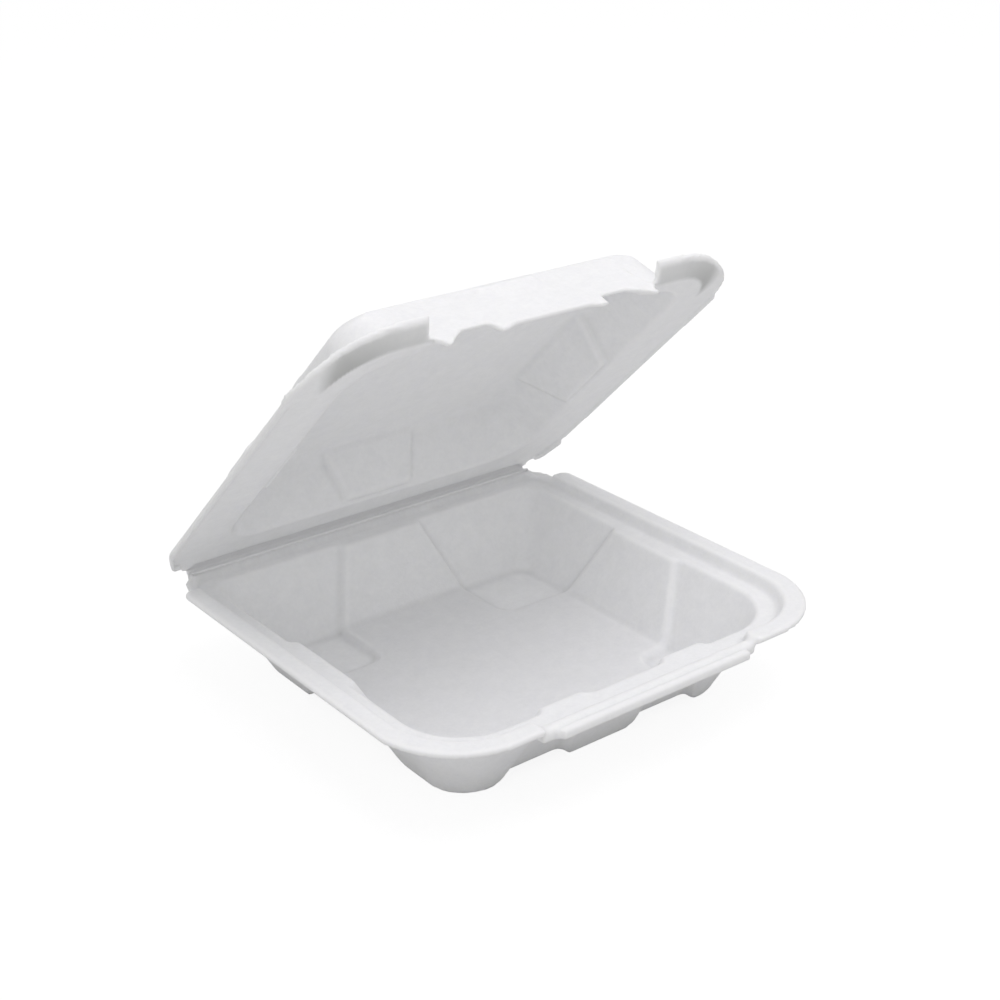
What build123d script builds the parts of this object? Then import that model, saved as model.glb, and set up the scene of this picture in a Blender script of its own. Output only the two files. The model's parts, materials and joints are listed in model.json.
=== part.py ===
from build123d import *
from math import atan2, cos, radians, sin, tan
import os

os.makedirs("parts", exist_ok=True)

# Foam hinged-lid takeaway box, shown open.
# X runs along the hinge, the front is towards -Y, Z is up.
# The sizes below are taken from the middle of the tray's floor.
# The finished pieces are then moved so that the origin is on the table,
# midway between the front lock and the back of the open lid.

# Foam sheet
sheet = 2.8
hinge_gap = 0.12

# Overall tray sizes
rim_height = 46.0
rim_half = 116.0
rim_front = -111.0
hinge_y = 106.0

# Tray bowl
foot_side_inset = 36.5
foot_front_inset = 36.2
foot_rear_inset = 30.0
foot_front_radius = 18.0
foot_rear_radius = 12.0
tray_wall_angle = 27.0
shelf_drop = 5.5
bowl_front_radius = 34.0
bowl_rear_radius = 14.0

# Tray feet and floor
foot_height = 3.2
side_foot_start = 38.0
front_foot_start = 58.0
centre_foot_half = 17.0
centre_foot_depth = 16.0
foot_corner = 6.0
foot_side_angle = 45.0

# Tray rim
tray_corner_back = 20.0
rim_front_radius = 42.0
rim_rear_radius = 5.0
step_top_inset = 9.0
step_slope = 2.2
notch_inset = 11.5
hinge_inset = 13.5

# Hinge flange
hinge_drop = 2.5
rear_step_back = 4.0
rear_lip_rise = 1.6

# Wall panels, shared by tray and lid
panel_depth = 3.4
panel_bevel = 2.4
panel_wall = 2.5
tray_panel_low_half = 37.0
tray_panel_high_half = 21.0
front_panel_low = (20.0, 57.0)
front_panel_high = (22.0, 45.0)

# Tray lock: an outer bar, a groove and a ridge along the front rim
ridge_half = 60.5
bar_half = 53.0
lock_drop = 2.0
bar_reach = 2.2
bar_depth = 5.5
groove_inset = 1.7
groove_depth = 1.7
ridge_inset = 7.0
lock_round = 0.8

# Lid dome
closed_gap = 0.3
lid_top = 75.0
dome_side_inset = 22.5
dome_front_inset = 18.5
dome_rear_inset = 18.0
dome_angle = 23.3
dome_front_radius = 30.0
dome_rear_radius = 26.0
dome_bevel = 4.0
ceiling_round = 12.0
side_panel_low_half = 20.0
side_panel_high_half = 34.0
side_panel_centre = 8.0
rear_panel_low_half = 19.0
rear_panel_high_half = 27.0
lid_panel_low_lift = 4.0

# Lid rim and its turned-down lips
lid_corner_back = 9.0
side_lip_clearance = 0.4
side_lip_thickness = 1.8
side_lip_reach = 7.6
side_lip_drop = 1.3
corner_lip_drop = 4.8
corner_lip_back = 23.0
lid_rim_chamfer = 2.0

# Lid finger lips: they rise from the rim as they come round each front corner
finger_start = 61.0
finger_foot_inset = 14.0
finger_root = 4.0
finger_stations = (
    (0.0, -1.8, 0.1),
    (25.0, -0.4, 0.6),
    (50.0, 2.4, 2.6),
    (72.0, 4.2, 5.4),
    (90.0, 4.8, 6.6),
)
finger_end_inset = 4.8
finger_end_rise = 7.0

# Lid lock: a sloping apron whose edge carries tabs and arches
apron_half = 59.0
apron_angle = 39.0
lock_clearance = 0.6
front_lobe_half = 15.0
tab_drop = 4.2
inner_tab_drop = 3.6
plain_edge_drop = 1.6
arch_rise = 2.6
plain_edge_half = 19.5
inner_tab_span = (25.5, 28.8)
arch_span = (30.0, 45.0)
outer_tab_span = (48.0, 55.0)
tab_round = 2.6
arch_round = 2.4
inner_tab_round = 1.0

# Opening
open_angle = 44.5
origin_shift = 2.6

# Sizes that follow from those above
foot_half = rim_half - foot_side_inset
foot_front = rim_front + foot_front_inset
foot_rear = hinge_y - foot_rear_inset
shelf_height = rim_height - shelf_drop
tray_corner = hinge_y - tray_corner_back
lid_corner = hinge_y - lid_corner_back
notch_inner_half = rim_half - notch_inset
hinge_half = rim_half - hinge_inset
hinge_z = rim_height - hinge_drop
rear_step_y = hinge_y - rear_step_back
lock_top = rim_height - lock_drop
bar_front = rim_front - bar_reach
bar_bottom = lock_top - bar_depth
groove_y = rim_front + groove_inset
groove_floor = lock_top - groove_depth
ridge_inner = rim_front + ridge_inset
tab_tip = rim_height - tab_drop
inner_tab_tip = rim_height - inner_tab_drop
plain_edge = rim_height - plain_edge_drop
arch_top = rim_height + arch_rise
wall_run = tan(radians(tray_wall_angle))
sheet_run = sheet / cos(radians(tray_wall_angle))
reach_margin = 1.0
floor_sink = 0.4


def tray_section(height, half, front, rear, front_radius, rear_radius):
    with BuildSketch(Plane.XY.offset(height)) as section:
        with Locations((0, (front + rear) / 2)):
            Rectangle(2 * half, rear - front)
        fillet(section.vertices().group_by(Axis.Y)[0], front_radius)
        fillet(section.vertices().group_by(Axis.Y)[-1], rear_radius)
    return section.sketch


def bowl_section(height, inset):
    spread = height * wall_run - inset
    share = height / shelf_height
    return tray_section(
        height,
        foot_half + spread,
        foot_front - spread,
        foot_rear + spread,
        foot_front_radius + share * (bowl_front_radius - foot_front_radius) - inset,
        foot_rear_radius + share * (bowl_rear_radius - foot_rear_radius) - inset,
    )


# The foot of the lid's dome, drawn in by an inset
def dome_foot(height, inset):
    return tray_section(
        height,
        rim_half - dome_side_inset - inset,
        rim_front + dome_front_inset + inset,
        hinge_y - dome_rear_inset - inset,
        dome_front_radius - inset,
        dome_rear_radius - inset,
    )


# Rim outline with the two rear corners cut back to the hinge line
def rim_section(height, growth, corner):
    half = rim_half + growth
    front = rim_front - growth
    corner_y = corner + growth
    with BuildSketch(Plane.XY.offset(height)) as section:
        with BuildLine():
            Polyline(
                (-half, front),
                (half, front),
                (half, corner_y),
                (notch_inner_half, corner_y),
                (hinge_half, rear_end),
                (-hinge_half, rear_end),
                (-notch_inner_half, corner_y),
                (-half, corner_y),
                close=True,
            )
        make_face()
        fillet(section.vertices().group_by(Axis.Y)[0], rim_front_radius + growth)
        outer_rear = section.vertices().filter_by_position(Axis.Y, corner_y - 0.01, corner_y + 0.01)
        fillet(outer_rear.group_by(Axis.X)[0] + outer_rear.group_by(Axis.X)[-1], rim_rear_radius)
    return section.sketch


# A wall's own plane: local X along the wall, local Y up its slope, local Z outward
def wall_plane(reach, height, turn, angle):
    away = (cos(radians(turn)), sin(radians(turn)))
    along = (-away[1], away[0])
    lean = radians(angle)
    return Plane(
        origin=(reach * away[0], reach * away[1], height),
        x_dir=(along[0], along[1], 0),
        z_dir=(cos(lean) * away[0], cos(lean) * away[1], -sin(lean)),
    )


# A raised or sunk panel: a four-sided block with sloping sides
def panel_block(plane, low, high, low_line, high_line, depth, bevel):
    with BuildPart() as block:
        with BuildSketch(plane):
            Polygon(
                (low[0], low_line),
                (low[1], low_line),
                (high[1], high_line),
                (high[0], high_line),
                align=None,
            )
        with BuildSketch(plane.offset(depth)):
            Polygon(
                (low[0] + bevel, low_line),
                (low[1] - bevel, low_line),
                (high[1] - bevel, high_line),
                (high[0] + bevel, high_line),
                align=None,
            )
        loft(ruled=True)
    return block.part


def widened(spread, growth):
    return (spread[0] - growth, spread[1] + growth)


# The side of a panel that stands in from a wall, as foam to add
def panel_inside(wall, low, high, low_line, high_line):
    return panel_block(
        wall.offset(-sheet / 2),
        widened(low, panel_wall),
        widened(high, panel_wall),
        low_line,
        high_line,
        -panel_depth - sheet / 2,
        panel_bevel + sheet / 2,
    )


# The sunk outside of the same panel, as room to cut away
def panel_outside(wall, low, high, low_line, high_line):
    return panel_block(
        wall.offset(sheet / 2),
        widened(low, sheet / 2),
        widened(high, sheet / 2),
        low_line,
        high_line,
        -panel_depth - sheet / 2,
        panel_bevel + sheet / 2,
    )


# The sunk middle of the underside, between the feet
def foot_relief(height, growth, thickness, room):
    side_start = side_foot_start + growth
    front_start = front_foot_start + growth
    far = foot_half
    with BuildPart() as relief:
        with BuildSketch(Plane.XY.offset(height)) as cross:
            with Locations((0, (foot_front + foot_rear) / 2)):
                Rectangle(2 * (foot_half + room), foot_rear - foot_front + 2 * room)
            for side in (-1, 1):
                with Locations((side * (side_start + far), side_start + far)):
                    RectangleRounded(2 * far, 2 * far, foot_corner, mode=Mode.SUBTRACT)
                with Locations((side * (front_start + far), -side_start - far)):
                    RectangleRounded(2 * far, 2 * far, foot_corner, mode=Mode.SUBTRACT)
            with Locations((0, foot_front + centre_foot_depth - growth - far)):
                RectangleRounded(
                    2 * (centre_foot_half - growth), 2 * far, foot_corner, mode=Mode.SUBTRACT
                )
        extrude(amount=thickness, taper=foot_side_angle)
    return relief.part


# A profile in the YZ plane carried along X from one side to the other
def cross_bar(points, start, end):
    with BuildPart() as bar:
        with BuildSketch(Plane.YZ.offset(start)):
            Polygon(*points, align=None)
        extrude(amount=end - start)
    return bar.part


# Tray
wall_length = shelf_height / cos(radians(tray_wall_angle))
underside = shelf_height - sheet
step_low_half = rim_half - step_top_inset - step_slope
step_high_half = rim_half - step_top_inset
step_low_front = rim_front + step_top_inset + step_slope
step_high_front = rim_front + step_top_inset
step_low_rear = rear_step_y - step_slope
above_rim = rim_height + reach_margin
rear_end = hinge_y - hinge_gap
side_walls = ((foot_half, 0), (foot_rear, 90), (foot_half, 180))
low_spread = (-tray_panel_low_half, tray_panel_low_half)
high_spread = (-tray_panel_high_half, tray_panel_high_half)
tray_panels = [(reach, turn, low_spread, high_spread) for reach, turn in side_walls]
tray_panels.append((-foot_front, -90, front_panel_low, front_panel_high))
tray_panels.append(
    (
        -foot_front,
        -90,
        (-front_panel_low[1], -front_panel_low[0]),
        (-front_panel_high[1], -front_panel_high[0]),
    )
)

with BuildPart() as base:
    # Bowl, filled for now
    loft([bowl_section(0, 0), bowl_section(shelf_height, 0)])
    # Band that carries the step, filled for now
    loft(
        [
            tray_section(
                underside,
                step_low_half + sheet,
                step_low_front - sheet,
                rear_step_y,
                bowl_front_radius + sheet,
                bowl_rear_radius,
            ),
            tray_section(
                rim_height - sheet,
                step_high_half + sheet,
                step_high_front - sheet,
                rear_step_y + step_slope,
                bowl_front_radius + sheet,
                bowl_rear_radius,
            ),
        ]
    )
    # Flat lip, filled for now
    extrude(rim_section(rim_height - sheet, 0, tray_corner), amount=sheet)
    # Rear flange, falling to the hinge line
    add(
        cross_bar(
            (
                (step_low_rear - sheet, underside),
                (rear_step_y, underside),
                (rear_end, hinge_z - sheet),
                (rear_end, hinge_z),
                (rear_step_y, hinge_z),
            ),
            -hinge_half,
            hinge_half,
        )
    )
    # Hollow
    loft([bowl_section(sheet, sheet_run), bowl_section(shelf_height, sheet_run)], mode=Mode.SUBTRACT)
    # Raised middle of the floor
    add(foot_relief(sheet - floor_sink, sheet / 2, foot_height + floor_sink, 0))
    # Panels that stand in from the walls
    for reach, turn, low, high in tray_panels:
        wall = wall_plane(reach, 0, turn, tray_wall_angle)
        add(panel_inside(wall, low, high, sheet, wall_length + panel_wall))
    # Step down from the lip to the shelf
    loft(
        [
            tray_section(
                shelf_height,
                step_low_half,
                step_low_front,
                step_low_rear,
                bowl_front_radius,
                bowl_rear_radius - sheet,
            ),
            tray_section(
                above_rim,
                step_high_half,
                step_high_front,
                rear_step_y,
                bowl_front_radius,
                bowl_rear_radius - sheet,
            ),
        ],
        mode=Mode.SUBTRACT,
    )
    # Slope of the rear lip down to the hinge line
    add(
        cross_bar(
            (
                (rear_step_y - 4 * step_slope, rim_height),
                (rear_step_y - 4 * step_slope, above_rim),
                (hinge_y + reach_margin, above_rim),
                (hinge_y + reach_margin, hinge_z),
                (rear_end, hinge_z),
                (rear_step_y, hinge_z + rear_lip_rise),
            ),
            -rim_half - reach_margin,
            rim_half + reach_margin,
        ),
        mode=Mode.SUBTRACT,
    )
    # Underside between the feet
    add(foot_relief(0, 0, foot_height, 2 * foot_height), mode=Mode.SUBTRACT)
    # Sunk panels on the outside, behind the raised ones inside
    for reach, turn, low, high in tray_panels:
        wall = wall_plane(reach, 0, turn, tray_wall_angle)
        add(
            panel_outside(wall, low, high, -foot_height, wall_length - 2 * sheet),
            mode=Mode.SUBTRACT,
        )
    # Lock along the front: the lip gives way to a bar, a groove and a ridge
    add(
        cross_bar(
            (
                (rim_front - 2 * reach_margin, underside - reach_margin),
                (rim_front - 2 * reach_margin, above_rim),
                (step_low_front + reach_margin, above_rim),
                (step_low_front + reach_margin, shelf_height),
                (groove_y + sheet, shelf_height),
                (groove_y + sheet, underside - reach_margin),
            ),
            -ridge_half,
            ridge_half,
        ),
        mode=Mode.SUBTRACT,
    )
    add(
        cross_bar(
            (
                (step_low_front - sheet, underside),
                (groove_y, underside),
                (groove_y, groove_floor),
                (groove_y + lock_round, lock_top - lock_round / 2),
                (groove_y + 2 * lock_round, lock_top),
                (ridge_inner - lock_round, lock_top),
                (ridge_inner, lock_top - lock_round),
                (ridge_inner, shelf_height),
                (step_low_front - sheet, shelf_height),
            ),
            -ridge_half,
            ridge_half,
        )
    )
    add(
        cross_bar(
            (
                (groove_y + sheet, bar_bottom),
                (bar_front + lock_round, bar_bottom),
                (bar_front, bar_bottom + lock_round),
                (bar_front, lock_top - lock_round),
                (bar_front + lock_round, lock_top),
                (groove_y - 2 * lock_round, lock_top),
                (groove_y - lock_round, lock_top - lock_round / 2),
                (groove_y, groove_floor),
                (groove_y + sheet, groove_floor),
            ),
            -bar_half,
            bar_half,
        )
    )


# Lid, made in its closed place
lid_base = rim_height + closed_gap
dome_height = lid_top - lid_base
dome_run = sheet / cos(radians(dome_angle))
dome_wall_length = dome_height / cos(radians(dome_angle))
apron_slope = tan(radians(apron_angle))
apron_run = sheet / cos(radians(apron_angle))
apron_foot_y = ridge_inner + lock_clearance
side_lip_bottom = lid_base - side_lip_drop
corner_lip_bottom = lid_base - corner_lip_drop
lip_growth = side_lip_clearance + side_lip_thickness
finger_centre_x = rim_half - rim_front_radius
finger_centre_y = rim_front + rim_front_radius
lid_panels = (
    (rim_half - dome_side_inset, 0, side_panel_centre, side_panel_low_half, side_panel_high_half),
    (hinge_y - dome_rear_inset, 90, 0, rear_panel_low_half, rear_panel_high_half),
    (rim_half - dome_side_inset, 180, -side_panel_centre, side_panel_low_half, side_panel_high_half),
)


# Front to back place of the apron's outer face, or its inner one, at a height
def apron_y(height, inset=0):
    return apron_foot_y + (height - tab_tip) * apron_slope + inset


# Everything in front of the apron's face between two heights, over a stretch of X
def before_apron(bottom, top, inset, start, end):
    return cross_bar(
        (
            (apron_y(bottom, inset), bottom),
            (rim_front - 4 * sheet, bottom),
            (rim_front - 4 * sheet, top),
            (apron_y(top, inset), top),
        ),
        start,
        end,
    )


# Everything behind the apron's face between two heights
def behind_apron(bottom, top, inset, half):
    return cross_bar(
        (
            (apron_y(bottom, inset), bottom),
            (apron_y(top, inset), top),
            (finger_centre_y, top),
            (finger_centre_y, bottom),
        ),
        -half,
        half,
    )


# A slice across the rim where a finger lip passes: its reach from the corner's centre, and height
def finger_slice(tip_inset, rise):
    foot = rim_front_radius - finger_foot_inset
    tip = rim_front_radius - tip_inset
    lean = atan2(rise, tip - foot)
    return (
        (foot - finger_root, lid_base),
        (foot, lid_base),
        (tip, lid_base + rise),
        (tip - sheet * sin(lean), lid_base + rise + sheet * cos(lean)),
        (foot - sheet * tan(lean / 2), lid_base + sheet),
        (foot - finger_root, lid_base + sheet),
    )


# The plane of such a slice: local X outwards, local Y up
def finger_plane(turn, centre_x):
    away = (cos(radians(turn)), -sin(radians(turn)))
    return Plane(
        origin=(centre_x, finger_centre_y, 0),
        x_dir=(away[0], away[1], 0),
        z_dir=(away[1], -away[0], 0),
    )


with BuildPart() as hollow:
    extrude(dome_foot(lid_base, dome_run), amount=dome_height - sheet, taper=dome_angle)
    fillet(hollow.faces().sort_by(Axis.Z)[-1].edges(), ceiling_round)
    extrude(dome_foot(lid_base - reach_margin, dome_run), amount=reach_margin)
    for side in (-1, 1):
        ends = sorted((side * (front_lobe_half - sheet / 2), side * rim_half))
        add(before_apron(plain_edge, lid_top, apron_run, *ends), mode=Mode.SUBTRACT)
    add(behind_apron(lid_base, arch_top + 4 * sheet, apron_run, apron_half - sheet))
    add(behind_apron(tab_tip - reach_margin, lid_base + reach_margin / 2, apron_run, rim_half / 2 + sheet))

# Everything beyond the foot of the finger lips
with BuildPart() as finger_room:
    with BuildSketch(Plane.XY.offset(corner_lip_bottom)) as corner_zone:
        with Locations((0, finger_centre_y)):
            Rectangle(3 * rim_half, rim_half, align=(Align.CENTER, Align.MAX))
        with Locations((0, finger_centre_y)):
            Rectangle(2 * apron_half, rim_half, align=(Align.CENTER, Align.MAX), mode=Mode.SUBTRACT)
        add(
            tray_section(
                0,
                rim_half - finger_foot_inset,
                rim_front + finger_foot_inset,
                0,
                rim_front_radius - finger_foot_inset,
                reach_margin,
            ),
            mode=Mode.SUBTRACT,
        )
    extrude(amount=lid_top - corner_lip_bottom)
    extrude(dome_foot(corner_lip_bottom, 0), amount=lid_top - corner_lip_bottom, mode=Mode.SUBTRACT)

with BuildPart() as finger_lips:
    for turn, tip_inset, rise in finger_stations:
        with BuildSketch(finger_plane(turn, finger_centre_x)):
            Polygon(*finger_slice(tip_inset, rise), align=None)
    with BuildSketch(finger_plane(90, finger_start)):
        Polygon(*finger_slice(finger_end_inset, finger_end_rise), align=None)
    loft()
    mirror(about=Plane.YZ)

with BuildPart() as lid_rim:
    lip_height = lid_base + sheet - corner_lip_bottom
    extrude(rim_section(corner_lip_bottom, lip_growth, lid_corner), amount=lip_height)
    chamfer(lid_rim.faces().sort_by(Axis.Z)[-1].edges(), lid_rim_chamfer)
    extrude(
        rim_section(corner_lip_bottom, side_lip_clearance, lid_corner),
        amount=corner_lip_drop,
        mode=Mode.SUBTRACT,
    )
    # No lip along the hinge or in front of the sides
    with BuildSketch(Plane.XY.offset(corner_lip_bottom)):
        Rectangle(2 * (rim_half - side_lip_reach), 3 * rim_half)
        with Locations((0, finger_centre_y)):
            Rectangle(3 * rim_half, rim_half, align=(Align.CENTER, Align.MAX))
    extrude(amount=corner_lip_drop, mode=Mode.SUBTRACT)
    # The lips hang lowest at the two rear corners
    with BuildSketch(Plane.XY.offset(corner_lip_bottom)):
        with Locations((0, hinge_y - corner_lip_back)):
            Rectangle(3 * rim_half, 3 * rim_half, align=(Align.CENTER, Align.MAX))
    extrude(amount=side_lip_bottom - corner_lip_bottom, mode=Mode.SUBTRACT)

with BuildPart() as tab_edge:
    with BuildSketch(Plane.XZ.offset(-apron_y(lid_base))) as edge_line:
        with BuildLine():
            right_edge = (
                (plain_edge_half, plain_edge),
                (inner_tab_span[0], inner_tab_tip),
                (inner_tab_span[1], inner_tab_tip),
                (arch_span[0], arch_top),
                (arch_span[1], arch_top),
                (outer_tab_span[0], tab_tip),
                (outer_tab_span[1], tab_tip),
                (apron_half, lid_base),
            )
            low = tab_tip - 2 * reach_margin
            Polyline(
                (-apron_half - reach_margin, low),
                (-apron_half - reach_margin, lid_base),
                *[(-x, z) for x, z in reversed(right_edge)],
                *right_edge,
                (apron_half + reach_margin, lid_base),
                (apron_half + reach_margin, low),
                close=True,
            )
        make_face()
        corners = edge_line.vertices()
        fillet(corners.filter_by_position(Axis.Z, tab_tip - 0.1, tab_tip + 0.1), tab_round)
        corners = edge_line.vertices()
        fillet(corners.filter_by_position(Axis.Z, arch_top - 0.1, arch_top + 0.1), arch_round)
        corners = edge_line.vertices()
        fillet(
            corners.filter_by_position(Axis.Z, inner_tab_tip - 0.1, inner_tab_tip + 0.1),
            inner_tab_round,
        )
    extrude(amount=6 * sheet, both=True)

with BuildPart() as lid:
    # Dome, filled for now
    extrude(dome_foot(lid_base, 0), amount=dome_height, taper=dome_angle)
    chamfer(lid.faces().sort_by(Axis.Z)[-1].edges(), dome_bevel)
    # Flat rim with its lips, filled for now
    add(lid_rim.part)
    # The rim falls to the hinge line between the rear corners
    rear_start = rear_step_y - 4 * step_slope
    for start, half in ((rear_start, hinge_half), (lid_corner + lip_growth, notch_inner_half)):
        add(
            cross_bar(
                (
                    (start, lid_base - 4 * sheet),
                    (hinge_y + sheet, lid_base - 4 * sheet),
                    (hinge_y + sheet, lid_base + 2 * sheet),
                    (start, lid_base + 2 * sheet),
                ),
                -half,
                half,
            ),
            mode=Mode.SUBTRACT,
        )
    rear_line = (
        (rear_start, lid_base),
        (rear_step_y, hinge_z + rear_lip_rise + closed_gap),
        (rear_end, hinge_z + 2 * hinge_gap),
    )
    add(
        cross_bar(
            rear_line + tuple((y, z + sheet) for y, z in reversed(rear_line)),
            -hinge_half,
            hinge_half,
        )
    )
    # Apron down to the lock, filled for now
    add(behind_apron(tab_tip, lid_top - sheet, 0, apron_half))
    add(before_apron(tab_tip - sheet, lid_base + 3 * sheet, 0, -apron_half, apron_half), mode=Mode.SUBTRACT)
    for side in (-1, 1):
        ends = sorted((side * front_lobe_half, side * rim_half))
        add(before_apron(lid_base + sheet, lid_top + reach_margin, 0, *ends), mode=Mode.SUBTRACT)
    # Hollow
    add(hollow.part, mode=Mode.SUBTRACT)
    # Panels in the side and rear walls
    for reach, turn, centre, low_half, high_half in lid_panels:
        wall = wall_plane(reach, lid_base, turn, -dome_angle)
        low = (centre - low_half, centre + low_half)
        high = (centre - high_half, centre + high_half)
        add(panel_inside(wall, low, high, lid_panel_low_lift, dome_wall_length - sheet / 4))
    for reach, turn, centre, low_half, high_half in lid_panels:
        wall = wall_plane(reach, lid_base, turn, -dome_angle)
        low = (centre - low_half, centre + low_half)
        high = (centre - high_half, centre + high_half)
        add(
            panel_outside(wall, low, high, lid_panel_low_lift + sheet / 2, dome_wall_length + 3 * sheet),
            mode=Mode.SUBTRACT,
        )
    # Tabs and arches
    add(tab_edge.part, mode=Mode.SUBTRACT)
    # Finger lips
    add(finger_room.part, mode=Mode.SUBTRACT)
    add(finger_lips.part)

# The lid as it stands open
hinge_line = Axis((0, hinge_y, hinge_z), (-1, 0, 0))
place = Location((0, origin_shift, 0))
tray = base.part.moved(place)
opened = lid.part.rotate(hinge_line, open_angle).moved(place)
tray.label = "base"
opened.label = "lid"
export_step(tray, "parts/base.step")
export_step(opened, "parts/lid.step")

whole = Compound(children=[tray, opened]).bounding_box()
print("base volume", round(tray.volume), "lid volume", round(opened.volume))
print("whole box", whole)
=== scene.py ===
import bpy
import bmesh
import json
import math
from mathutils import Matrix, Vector

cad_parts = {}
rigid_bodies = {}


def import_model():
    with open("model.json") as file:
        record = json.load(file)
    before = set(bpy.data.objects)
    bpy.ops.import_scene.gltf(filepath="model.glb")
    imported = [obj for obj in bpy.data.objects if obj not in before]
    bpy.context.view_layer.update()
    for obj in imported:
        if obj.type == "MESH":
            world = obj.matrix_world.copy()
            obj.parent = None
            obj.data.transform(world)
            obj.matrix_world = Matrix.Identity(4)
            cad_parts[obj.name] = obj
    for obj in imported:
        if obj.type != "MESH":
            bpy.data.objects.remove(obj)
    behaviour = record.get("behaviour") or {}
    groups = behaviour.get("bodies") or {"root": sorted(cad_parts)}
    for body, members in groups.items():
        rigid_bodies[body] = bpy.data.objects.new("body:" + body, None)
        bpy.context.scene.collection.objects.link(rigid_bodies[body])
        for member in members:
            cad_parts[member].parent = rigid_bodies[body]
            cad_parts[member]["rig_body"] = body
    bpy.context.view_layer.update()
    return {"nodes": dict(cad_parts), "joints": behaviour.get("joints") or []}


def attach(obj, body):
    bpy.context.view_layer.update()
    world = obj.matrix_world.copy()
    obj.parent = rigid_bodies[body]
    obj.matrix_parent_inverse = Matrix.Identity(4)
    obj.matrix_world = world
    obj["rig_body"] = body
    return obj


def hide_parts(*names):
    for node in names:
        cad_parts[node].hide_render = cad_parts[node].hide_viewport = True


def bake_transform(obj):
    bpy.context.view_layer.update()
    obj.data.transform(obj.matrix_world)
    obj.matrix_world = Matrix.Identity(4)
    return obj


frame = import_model()
print("frame loaded", sorted(frame["nodes"]))

mm = 0.001


# A node's socket that can stand in a sum or a product.
class Wire:
    def __init__(self, tree, socket):
        self.tree = tree
        self.socket = socket

    def mathNode(self, operation, first, second):
        return self.tree.node("ShaderNodeMath", {"operation": operation}, {0: first, 1: second})[0]

    def __add__(self, other):
        return self.mathNode("ADD", self, other)

    def __radd__(self, other):
        return self.mathNode("ADD", other, self)

    def __sub__(self, other):
        return self.mathNode("SUBTRACT", self, other)

    def __rsub__(self, other):
        return self.mathNode("SUBTRACT", other, self)

    def __mul__(self, other):
        return self.mathNode("MULTIPLY", self, other)

    def __rmul__(self, other):
        return self.mathNode("MULTIPLY", other, self)


# One method makes any node: its type, its settings, then the values or links of its sockets.
class Tree:
    def __init__(self, nodeTree):
        self.nodes = nodeTree.nodes
        self.links = nodeTree.links
        self.nodes.clear()

    def node(self, kind, settings=None, values=None):
        made = self.nodes.new(kind)
        for name, value in (settings or {}).items():
            setattr(made, name, value)
        for name, value in (values or {}).items():
            if isinstance(value, Wire):
                self.links.new(value.socket, made.inputs[name])
            else:
                made.inputs[name].default_value = value
        return [Wire(self, socket) for socket in made.outputs]


# Foam sheet: white, faintly mottled, with a fine cell grain under a soft skin
foamLook = {
    "colour": (0.865, 0.868, 0.876, 1.0),
    "paleColour": (0.915, 0.917, 0.922, 1.0),
    # painted shade: the grey laid under the finger lips and into inner corners
    "paintedShadeColour": (0.54, 0.545, 0.54, 1.0),
    "paintedHighlightColour": (0.985, 0.985, 0.99, 1.0),
    "paintedHighlightShare": 0.75,       # painted highlight: how far proud edges are lightened
    "ridgeRange": (0.1, 0.9),
    "mottleRange": (0.35, 0.65),
    "paintedShadeShare": 0.30,      # painted shade: how far inner corners are darkened
    "cellSize": 0.9 * mm,
    "grainShare": 0.45,       # the grain's fineness against the cells'
    "mottleSize": 7.0 * mm,
    "roughness": 0.55,
    "roughnessSpread": 0.14,
    "cellRelief": 0.05 * mm,
    "cellStrength": 0.8,
    "rippleRelief": 0.25 * mm,
    "rippleStrength": 0.35,
    "softness": 0.85,         # how much light passes into the foam
    "softDepth": 3.8 * mm,
    "softColours": (1.0, 1.0, 0.95),
    "sheen": 0.35,
    "density": 1.4,           # index of refraction of its skin
}


def ranged(tree, value, span, top):      # 0 below the span, rising to top at its end
    return tree.node("ShaderNodeMapRange", {}, {
        "Value": value,
        "From Min": span[0],
        "From Max": span[1],
        "To Max": top,
    })[0]


def toned(tree, share, plain, changed):
    return tree.node("ShaderNodeMix", {"data_type": "RGBA"}, {"Factor": share, 6: plain, 7: changed})[2]


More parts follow.
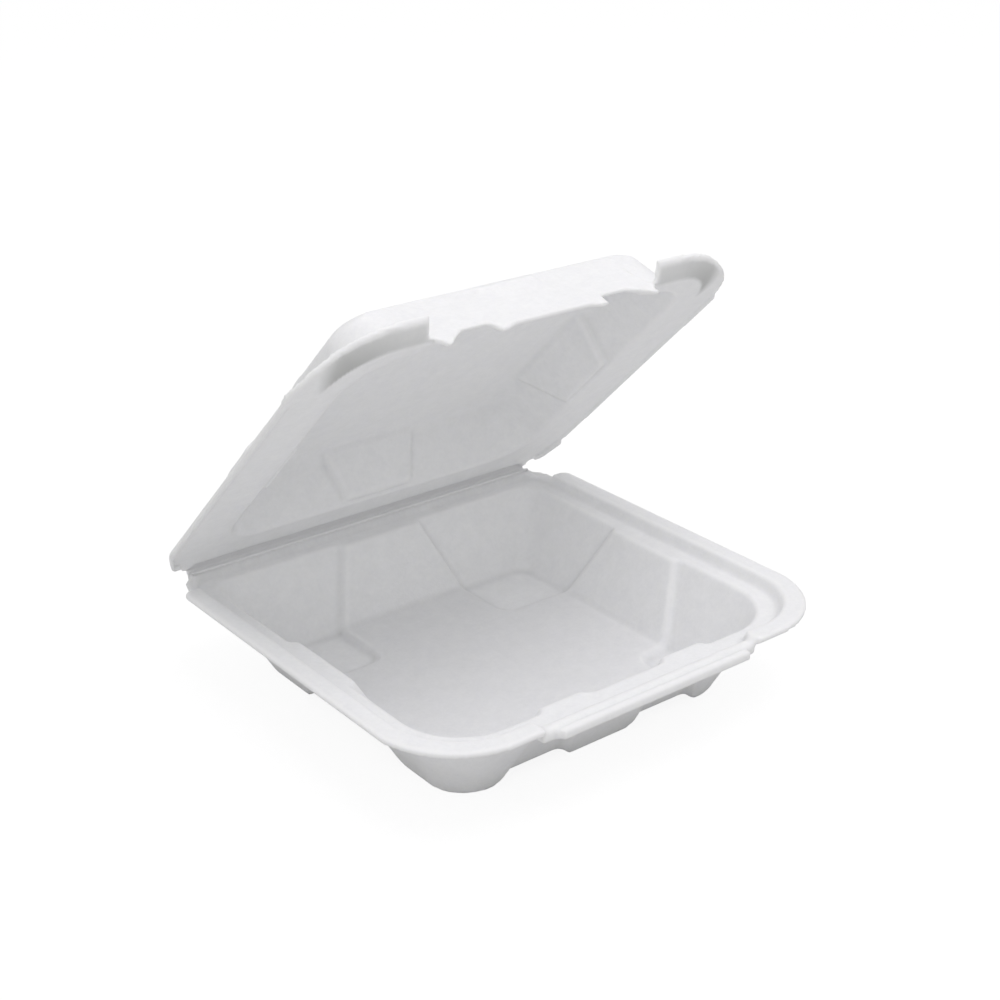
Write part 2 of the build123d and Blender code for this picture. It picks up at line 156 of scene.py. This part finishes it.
def foamMaterial():
    look = foamLook
    made = bpy.data.materials.new("whiteFoamSheet")
    made.use_nodes = True
    t = Tree(made.node_tree)
    place = t.node("ShaderNodeTexCoord")[3]
    cells = t.node("ShaderNodeTexVoronoi", {"feature": "F1"},
                   {"Vector": place, "Scale": 1 / look["cellSize"], "Randomness": 1.0})[0]
    mottle = t.node("ShaderNodeTexNoise", {},
                    {"Vector": place, "Scale": 1 / look["mottleSize"], "Detail": 3.0, "Roughness": 0.6})[0]
    grain = t.node("ShaderNodeTexNoise", {},
                   {"Vector": place, "Scale": look["grainShare"] / look["cellSize"],
                    "Detail": 2.0, "Roughness": 0.7})[0]
    blend = ranged(t, 0.5 * mottle + 0.5 * grain, look["mottleRange"], 1.0)
    colour = toned(t, blend, look["colour"], look["paleColour"])
    # painted shade under the finger lips, mixed into the base colour
    paintedLipShade = t.node("ShaderNodeAttribute", {"attribute_name": "paintedLipShade"})[2]
    colour = toned(t, paintedLipShade, colour, look["paintedShadeColour"])
    # painted highlight on proud edges and painted shade in inner corners, from the ridge measure
    ridge = t.node("ShaderNodeAttribute", {"attribute_name": "ridge"})[2]
    proud = ranged(t, ridge, look["ridgeRange"], look["paintedHighlightShare"])
    colour = toned(t, proud, colour, look["paintedHighlightColour"])
    paintedCornerShade = ranged(t, 0 - ridge, look["ridgeRange"], look["paintedShadeShare"])
    colour = toned(t, paintedCornerShade, colour, look["paintedShadeColour"])
    rough = look["roughness"] + (grain - 0.5) * look["roughnessSpread"]
    ripple = t.node("ShaderNodeBump", {}, {
        "Height": mottle,
        "Distance": look["rippleRelief"],
        "Strength": look["rippleStrength"],
    })[0]
    relief = t.node("ShaderNodeBump", {}, {
        "Height": cells + 0.6 * grain,
        "Distance": look["cellRelief"],
        "Strength": look["cellStrength"],
        "Normal": ripple,
    })[0]
    skin = t.node("ShaderNodeBsdfPrincipled", {}, {
        "Base Color": colour,
        "Roughness": rough,
        "Normal": relief,
        "IOR": look["density"],
        "Subsurface Weight": look["softness"],
        "Subsurface Radius": look["softColours"],
        "Subsurface Scale": look["softDepth"],
        "Specular IOR Level": look["sheen"],
    })[0]
    t.node("ShaderNodeOutputMaterial", {}, {"Surface": skin})
    print("foam material made")
    return made


# The joint's own numbers turn a point of the open lid into its closed place and back.
joint = frame["joints"][0]
hingeAxis = Vector(joint["pos_m"])
openedBy = math.radians(-joint["range_deg"][0])


def swung(point, angle):
    out = point - hingeAxis
    c, s = math.cos(angle), math.sin(angle)
    return hingeAxis + Vector((out.x, out.y * c + out.z * s, out.z * c - out.y * s))


# Two moulded halves: the solids' shapes with the soft corners of pressed foam
moulding = {
    "grid": 1.2 * mm,
    "softening": 0.5,
    "fairing": 3,             # smoothing passes before the lid's last shaping
    "passes": 3,              # and after it
    "keptShare": 0.72,
    "ridgeGain": 6.0,
    "weld": 0.002 * mm,       # points this close are one
}

# Finger lips of the lid, as places round each front corner and how far their edge stands up
fingerLips = {
    "centre": (74.0 * mm, -66.4 * mm),   # middle of the rim's corner round
    "foot": 27.6 * mm,                   # where the lip leaves the flat rim
    "tip": 37.4 * mm,
    "inside": 60.2 * mm,                 # where they start beside the apron
    "back": 6.0 * mm,                    # how far behind the corner's middle they reach
    "roof": 58.0 * mm,                   # above this the lid's dome begins
    "overTip": 1.15,                     # how far past the tip the shaping still grows
    "lift": ((8, 0.0), (22, 0.6), (34, 1.7), (46, 2.4), (58, 2.1), (72, 1.2), (90, 0.6), (120, 0.6)),
    "draw": ((8, 0.0), (30, 0.3), (46, 1.0), (58, 0.7), (72, 0.3), (90, 0.0), (120, 0.0)),
    "edge": ((0, 43.8), (25, 42.2), (50, 38.7), (72, 37.4), (90, 37.2), (120, 37.2)),
}

# The two outer tabs of the lid's lock, narrowed to a tip
outerTabs = {
    "from": 43.0 * mm,
    "to": 60.2 * mm,
    "front": -88.0 * mm,
    "top": 47.6 * mm,
    "depth": 5.8 * mm,
    "middle": 57.5 * mm,
    "tipShare": 0.3,
}

# Webs of foam that close the lid's rear corners, as places in the closed lid
cornerWeb = {
    "outline": ((101.0, 99.4), (114.0, 99.4), (112.0, 102.4), (106.5, 106.2), (102.3, 108.3), (101.0, 108.3)),
    "underside": ((95.8, 46.3), (104.6, 45.4), (108.6, 43.8)),   # the rear rim falls to the hinge line
    "thickness": 2.8,
    "lipShare": 0.55,                    # how much of the rear lips' drop is kept
    "rim": 46.2 * mm,
    "from": 82.0 * mm,
    "run": 20.0 * mm,
    "inside": 105.0 * mm,
    "side": 118.2 * mm,                  # the lid's outer side
    "drawIn": 5.5 * mm,
}


def between(table, at):
    if at <= table[0][0]:
        return table[0][1]
    for (a, low), (b, high) in zip(table, table[1:]):
        if at <= b:
            return low + (high - low) * (at - a) / (b - a)
    return table[-1][1]


def addCornerWebs(work):
    for side in (-1, 1):
        rings = []
        for rise in (0.0, cornerWeb["thickness"]):
            ring = []
            for x, y in cornerWeb["outline"]:
                place = Vector((side * x * mm, y * mm, (between(cornerWeb["underside"], y) + rise) * mm))
                ring.append(work.verts.new(swung(place, openedBy)))
            rings.append(ring if side > 0 else ring[::-1])
        low, high = rings
        count = len(low)
        work.faces.new(low[::-1])
        work.faces.new(high)
        for k in range(count):
            work.faces.new((low[k], low[(k + 1) % count], high[(k + 1) % count], high[k]))


def roundCorner(out):         # degrees round the corner, then the distance and way from its middle
    if out.x < 0:             # straight part to the apron
        return 90 - out.x / mm, -out.y, Vector((0, -1))
    return math.degrees(math.atan2(-out.y, out.x)), out.length, out.normalized()


def shapeLid(mesh):
    look, web, tabs = fingerLips, cornerWeb, outerTabs
    for vertex in mesh.vertices:
        place = swung(vertex.co, -openedBy)
        x, y, side = abs(place.x), place.y, (1 if place.x > 0 else -1)
        if y > web["from"] and x > web["inside"]:       # rear corners, drawn in and hanging less
            if place.z < web["rim"]:
                place.z = web["rim"] - (web["rim"] - place.z) * web["lipShare"]
            t = min(1.0, (y - web["from"]) / web["run"])
            x -= web["drawIn"] * t * t * (3 - 2 * t) * (x - web["inside"]) / (web["side"] - web["inside"])
            place.x = side * x
            vertex.co = swung(place, openedBy)
            continue
        if tabs["from"] < x < tabs["to"] and y < tabs["front"] and place.z < tabs["top"]:
            depth = min(1.0, (tabs["top"] - place.z) / tabs["depth"])   # each tab narrows to its tip
            place.x = side * (tabs["middle"] + (x - tabs["middle"]) * (1 - depth * (1 - tabs["tipShare"])))
            vertex.co = swung(place, openedBy)
            continue
        out = Vector((x - look["centre"][0], y - look["centre"][1]))
        if out.y > look["back"] or x < look["inside"] or place.z > look["roof"]:
            continue
        turn, reach, away = roundCorner(out)
        share = (reach - look["foot"]) / (look["tip"] - look["foot"])
        if share <= 0:
            continue
        share = min(share, look["overTip"])
        place.z += between(look["lift"], turn) * mm * share
        move = away * (between(look["draw"], turn) * mm * share)
        place.x -= side * move.x
        place.y -= move.y
        vertex.co = swung(place, openedBy)


# Painted shade under the finger lips: the foam's colour is greyed where their undersides look down
lipShadePatch = {
    "inside": 59.0 * mm,
    "border": 1.5 * mm,       # kept white along the lip's edge
    "fade": 1.2 * mm,
    "start": 4.0,             # degrees round the corner where it begins
    "startFade": 20.0,
    "lean": 2.2,              # later by so many degrees for each mm up the lip
    "facing": -0.3,           # only what looks down this much in the closed lid
    "facingFade": 0.25,
    "apronLoss": 0.45,        # weaker towards the apron
    "lossStart": 45.0,        # in degrees round the corner
    "lossRun": 45.0,
    "edgeLoss": 0.4,          # and towards the lip's edge
}


def clipped(value):
    return min(1.0, max(0.0, value))


# painted shade: greys the colour of the downward faces under the finger lips
def paintLipShade(mesh):
    look, grey = fingerLips, lipShadePatch
    paintedLipShade = mesh.attributes.new("paintedLipShade", "FLOAT", "POINT")
    for vertex in mesh.vertices:
        place = swung(vertex.co, -openedBy)
        facing = swung(hingeAxis + vertex.normal, -openedBy) - hingeAxis
        out = Vector((abs(place.x) - look["centre"][0], place.y - look["centre"][1]))
        turn, reach = roundCorner(out)[:2]
        inLip = abs(place.x) >= grey["inside"] and place.z <= look["roof"] and out.y <= look["back"]
        if facing.z > grey["facing"] or not inLip:
            continue
        up = reach - look["foot"]
        edge = between(look["edge"], turn) * mm - grey["border"]
        across = min(clipped(up / grey["fade"]), clipped((edge - reach) / grey["fade"]))
        along = clipped((turn - grey["start"] - grey["lean"] * up / mm) / grey["startFade"])
        under = clipped((grey["facing"] - facing.z) / grey["facingFade"])
        fading = 1 - grey["apronLoss"] * clipped((turn - grey["lossStart"]) / grey["lossRun"])
        fading *= 1 - grey["edgeLoss"] * clipped(up / (edge - look["foot"]))
        paintedLipShade.data[vertex.index].value = across * along * under * fading


def markRidges(mesh):         # how far each point stands proud of its neighbours, or lies below them
    sums = [0.0] * len(mesh.vertices)
    counts = [0] * len(mesh.vertices)
    for edge in mesh.edges:
        for here, there in (edge.vertices, reversed(edge.vertices)):
            vertex = mesh.vertices[here]
            away = mesh.vertices[there].co - vertex.co
            sums[here] -= away.normalized().dot(vertex.normal)
            counts[here] += 1
    raw = [total / max(1, count) for total, count in zip(sums, counts)]
    spread = list(raw)
    shared = [1] * len(raw)
    for edge in mesh.edges:
        for here, there in (edge.vertices, reversed(edge.vertices)):
            spread[here] += raw[there]
            shared[here] += 1
    # this measure drives the painted highlight and painted shade in the foam's colour
    ridge = mesh.attributes.new("ridge", "FLOAT", "POINT")
    for k, total in enumerate(spread):
        ridge.data[k].value = max(-1.0, min(1.0, moulding["ridgeGain"] * total / shared[k]))


def madeSolid(rough, kind):
    graph = bpy.context.evaluated_depsgraph_get()
    final = bpy.data.meshes.new_from_object(rough.evaluated_get(graph))
    rough.modifiers.clear()
    print(rough.name, kind, sum(len(f.vertices) - 2 for f in final.polygons), "triangles")
    return final


def mouldedHalf(node, name, material):
    mesh = frame["nodes"][node].data.copy()
    work = bmesh.new()
    work.from_mesh(mesh)
    bmesh.ops.remove_doubles(work, verts=work.verts, dist=moulding["weld"])
    if node == "lid":
        addCornerWebs(work)
    work.to_mesh(mesh)
    work.free()
    half = bpy.data.objects.new(name, mesh)
    bpy.context.scene.collection.objects.link(half)
    regrid = half.modifiers.new("grid", "REMESH")
    regrid.mode = "VOXEL"
    regrid.voxel_size = moulding["grid"]
    regrid.use_smooth_shade = True
    first = half.modifiers.new("fair", "SMOOTH")
    first.factor = moulding["softening"]
    first.iterations = moulding["fairing"]
    half.data = madeSolid(half, "regridded")
    if node == "lid":
        shapeLid(half.data)
    soften = half.modifiers.new("soften", "SMOOTH")
    soften.factor = moulding["softening"]
    soften.iterations = moulding["passes"]
    thin = half.modifiers.new("thin", "DECIMATE")
    thin.ratio = moulding["keptShare"]
    half.data = madeSolid(half, "softened")
    markRidges(half.data)
    if node == "lid":
        # painted shade under the finger lips
        paintLipShade(half.data)
    half.data.materials.clear()
    half.data.materials.append(material)
    for face in half.data.polygons:
        face.use_smooth = True
    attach(half, frame["nodes"][node]["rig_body"])
    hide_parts(node)


foam = foamMaterial()
mouldedHalf("base", "foamTray", foam)
mouldedHalf("lid", "foamLid", foam)


# The fold that joins the halves: foam pressed thin, lying over the hinge line
fold = {
    "length": 204.0 * mm,
    "reach": 6.0 * mm,        # how far it runs up each half's face
    "paintedLight": 1.0,         # painted highlight: the strip is lightened as much as a proud edge, against the shade of its crevice
    "turnIn": 2.2 * mm,       # where it leaves the faces for the round of the fold
    "proud": 0.04 * mm,
    "endSlope": 0.5 * mm,     # its ends slope down into the faces
    "sunkEnd": 0.3 * mm,
    "bend": 0.8 * mm,
    "bendSteps": 5,
    "outerTurn": 1.2 * mm,
    "outerMiddle": -0.35 * mm,
    "bendZone": 0.8 * mm,     # a zone about the hinge line
    "thickness": 1.3 * mm,
    "slope": 22.4,            # degrees that each face falls towards the hinge line
    "crumpleScale": 60.0,
    "crumple": 0.25 * mm,
    "steps": 160,
    "seed": 4,
}


def foldSection():            # the strip's outline across the hinge, as (y, z) from the axis
    slope = math.radians(fold["slope"])
    trayWay = Vector((-math.cos(slope), math.sin(slope)))
    lidAngle = math.pi - slope - openedBy
    lidWay = Vector((math.cos(lidAngle), math.sin(lidAngle)))
    trayUp = Vector((math.sin(slope), math.cos(slope)))
    lidOut = Vector((-lidWay.y, lidWay.x))
    if lidOut.dot(trayWay) < 0:
        lidOut = -lidOut
    inner = [
        trayWay * fold["reach"] - trayUp * fold["sunkEnd"],
        trayWay * (fold["reach"] - fold["endSlope"]) + trayUp * fold["proud"],
        trayWay * fold["turnIn"] + trayUp * fold["proud"],
    ]
    start, end = inner[-1], lidWay * fold["turnIn"] + lidOut * fold["proud"]
    bend = (trayWay + lidWay) * fold["bend"]
    for k in range(1, fold["bendSteps"]):
        t = k / fold["bendSteps"]
        inner.append(start * (1 - t) ** 2 + bend * 2 * t * (1 - t) + end * t ** 2)
    inner += [
        end,
        lidWay * (fold["reach"] - fold["endSlope"]) + lidOut * fold["proud"],
        lidWay * fold["reach"] - lidOut * fold["sunkEnd"],
    ]
    outer = [
        lidWay * fold["reach"] - lidOut * fold["thickness"],
        lidWay * fold["outerTurn"] - lidOut * fold["thickness"],
        (lidWay + trayWay) * fold["outerMiddle"],
        trayWay * fold["outerTurn"] - trayUp * fold["thickness"],
        trayWay * fold["reach"] - trayUp * fold["thickness"],
    ]
    return inner + outer


def foldTree(material):
    tree = bpy.data.node_groups.new("foldAlongHinge", "GeometryNodeTree")
    face = tree.interface
    face.new_socket("Section", in_out="INPUT", socket_type="NodeSocketGeometry")
    sizes = {}
    for name, kind in (("Length", "NodeSocketFloat"), ("Steps", "NodeSocketInt"),
                       ("Crumple", "NodeSocketFloat"), ("Seed", "NodeSocketFloat")):
        sizes[name] = face.new_socket(name, in_out="INPUT", socket_type=kind).identifier
    face.new_socket("Strip", in_out="OUTPUT", socket_type="NodeSocketGeometry")
    t = Tree(tree)
    given = dict(zip(("Section", "Length", "Steps", "Crumple", "Seed"), t.node("NodeGroupInput")))
    half = given["Length"] * 0.5
    ends = [t.node("ShaderNodeCombineXYZ", {}, {"X": half * sign})[0] for sign in (-1, 1)]
    line = t.node("GeometryNodeCurvePrimitiveLine", {}, {"Start": ends[0], "End": ends[1]})[0]
    path = t.node("GeometryNodeResampleCurve", {}, {"Curve": line, "Count": given["Steps"]})[0]
    noise = t.node("ShaderNodeTexNoise", {"noise_dimensions": "4D"},
                   {"W": given["Seed"], "Scale": fold["crumpleScale"], "Detail": 3.0})[1]
    middle, acrossOnly = (0.5, 0.5, 0.5), (0, 1, 1)
    shifted = t.node("ShaderNodeVectorMath", {"operation": "SUBTRACT"}, {0: noise, 1: middle})[0]
    scaled = t.node("ShaderNodeVectorMath", {"operation": "SCALE"},
                    {0: shifted, "Scale": given["Crumple"]})[0]
    swayed = t.node("ShaderNodeVectorMath", {"operation": "MULTIPLY"}, {0: scaled, 1: acrossOnly})[0]
    crumpled = t.node("GeometryNodeSetPosition", {}, {"Geometry": path, "Offset": swayed})[0]
    outline = t.node("GeometryNodeMeshToCurve", {}, {"Mesh": given["Section"]})[0]
    strip = t.node("GeometryNodeCurveToMesh", {},
                   {"Curve": crumpled, "Profile Curve": outline, "Fill Caps": True})[0]
    whole = t.node("GeometryNodeRealizeInstances", {}, {"Geometry": strip})[0]
    painted = t.node("GeometryNodeSetMaterial", {}, {"Geometry": whole, "Material": material})[0]
    t.node("NodeGroupOutput", {}, {0: painted})
    return tree, sizes


def foldStrip(material):
    section = bpy.data.meshes.new("foldSection")
    ring = foldSection()
    count = len(ring)
    sides = [(k, (k + 1) % count) for k in range(count)]
    section.from_pydata([(-p.x, -p.y, 0) for p in ring], sides, [])
    strip = bpy.data.objects.new("foldStrip", section)
    bpy.context.scene.collection.objects.link(strip)
    tree, sizes = foldTree(material)
    maker = strip.modifiers.new("alongHinge", "NODES")
    maker.node_group = tree
    for name, value in (("Length", fold["length"]), ("Steps", fold["steps"]),
                        ("Crumple", fold["crumple"]), ("Seed", float(fold["seed"]))):
        maker[sizes[name]] = value
    strip.data = madeSolid(strip, "swept")
    work = bmesh.new()
    work.from_mesh(strip.data)
    bmesh.ops.remove_doubles(work, verts=work.verts, dist=moulding["weld"])
    bmesh.ops.recalc_face_normals(work, faces=work.faces)
    work.to_mesh(strip.data)
    work.free()
    # painted highlight over the whole strip, against the shade of its crevice
    ridge = strip.data.attributes.new("ridge", "FLOAT", "POINT")
    for vertex in strip.data.vertices:
        vertex.co += hingeAxis
        ridge.data[vertex.index].value = fold["paintedLight"]
    for face in strip.data.polygons:
        face.use_smooth = True
    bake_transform(strip)
    ys = [v.co.y - hingeAxis.y for v in strip.data.vertices]
    zs = [v.co.z - hingeAxis.z for v in strip.data.vertices]
    print("fold strip reaches", min(ys) / mm, max(ys) / mm, min(zs) / mm, max(zs) / mm)


foldStrip(foam)


# Floor, backdrop and light
studio = {
    "floorSize": 6.0,
    "floorShade": 0.68,
    "whiteShare": 0.76,      # how far the floor is washed out to white for the camera
    "whiteGlow": 1.17,
    "lampsAim": (0, 0, 0.08),
    "keyPlace": (0.1, -0.3, 1.55),
    "keySize": 1.2,
    "keyPower": 8.2,
    "keyColour": (0.985, 0.965, 1.0),
    "fillPlace": (-1.2, -0.9, 0.6),
    "fillSize": 1.2,
    "fillPower": 1.4,
    "fillColour": (1.0, 0.995, 0.985),
    "horizonStrength": 0.48,
    "zenithStrength": 0.70,
    "zenithHeight": 0.9,
}


def studioFloor():
    bpy.ops.mesh.primitive_plane_add(size=studio["floorSize"], location=(0, 0, 0))
    floor = bpy.context.object
    floor.name = "studioFloor"
    made = bpy.data.materials.new("studioFloorWhite")
    made.use_nodes = True
    t = Tree(made.node_tree)
    isCamera = t.node("ShaderNodeLightPath")[0]
    shade = studio["floorShade"]
    matte = t.node("ShaderNodeBsdfDiffuse", {}, {"Color": (shade, shade, shade, 1)})[0]
    white = t.node("ShaderNodeEmission", {}, {"Color": (1, 1, 1, 1), "Strength": studio["whiteGlow"]})[0]
    mixed = t.node("ShaderNodeMixShader", {}, {0: isCamera * studio["whiteShare"], 1: matte, 2: white})[0]
    t.node("ShaderNodeOutputMaterial", {}, {"Surface": mixed})
    floor.data.materials.append(made)


def areaLamp(kind):
    data = bpy.data.lights.new(kind + "Lamp", "AREA")
    data.shape = "DISK"
    data.size = studio[kind + "Size"]
    data.energy = studio[kind + "Power"]
    data.color = studio[kind + "Colour"]
    lamp = bpy.data.objects.new(kind + "Lamp", data)
    bpy.context.scene.collection.objects.link(lamp)
    lamp.location = studio[kind + "Place"]
    aim = Vector(studio["lampsAim"]) - lamp.location
    lamp.rotation_euler = aim.to_track_quat("-Z", "Y").to_euler()


def studioWorld():
    world = bpy.data.worlds.new("studioWorld")
    bpy.context.scene.world = world
    world.use_nodes = True
    t = Tree(world.node_tree)
    isCamera = t.node("ShaderNodeLightPath")[0]
    height = t.node("ShaderNodeSeparateXYZ", {}, {"Vector": t.node("ShaderNodeTexCoord")[0]})[2]
    sky = t.node("ShaderNodeMapRange", {}, {
        "Value": height,
        "From Min": 0.0,
        "From Max": studio["zenithHeight"],
        "To Min": studio["horizonStrength"],
        "To Max": studio["zenithStrength"],
    })[0]
    strength = isCamera * (1 - sky) + sky
    ground = t.node("ShaderNodeBackground", {}, {"Color": (1, 1, 1, 1), "Strength": strength})[0]
    t.node("ShaderNodeOutputWorld", {}, {"Surface": ground})


studioFloor()
studioWorld()
areaLamp("key")
areaLamp("fill")
bpy.context.scene.view_settings.view_transform = "Standard"

# Camera at the photograph's angle
camera = {
    "place": (-0.44010, -0.55769, 0.40875),
    "turn": 38.365,          # degrees from straight along +Y towards +X
    "drop": 24.068,          # degrees below the horizon
    "lens": 62.051,
    "sensor": 36.0,
}


def photoCamera():
    data = bpy.data.cameras.new("photoCamera")
    data.lens, data.sensor_width = camera["lens"], camera["sensor"]
    made = bpy.data.objects.new("photoCamera", data)
    bpy.context.scene.collection.objects.link(made)
    a, e = math.radians(camera["turn"]), math.radians(camera["drop"])
    look = Vector((math.sin(a) * math.cos(e), math.cos(a) * math.cos(e), -math.sin(e)))
    made.location = camera["place"]
    made.rotation_euler = look.to_track_quat("-Z", "Y").to_euler()
    bpy.context.scene.camera = made


photoCamera()
print("stage and camera set")
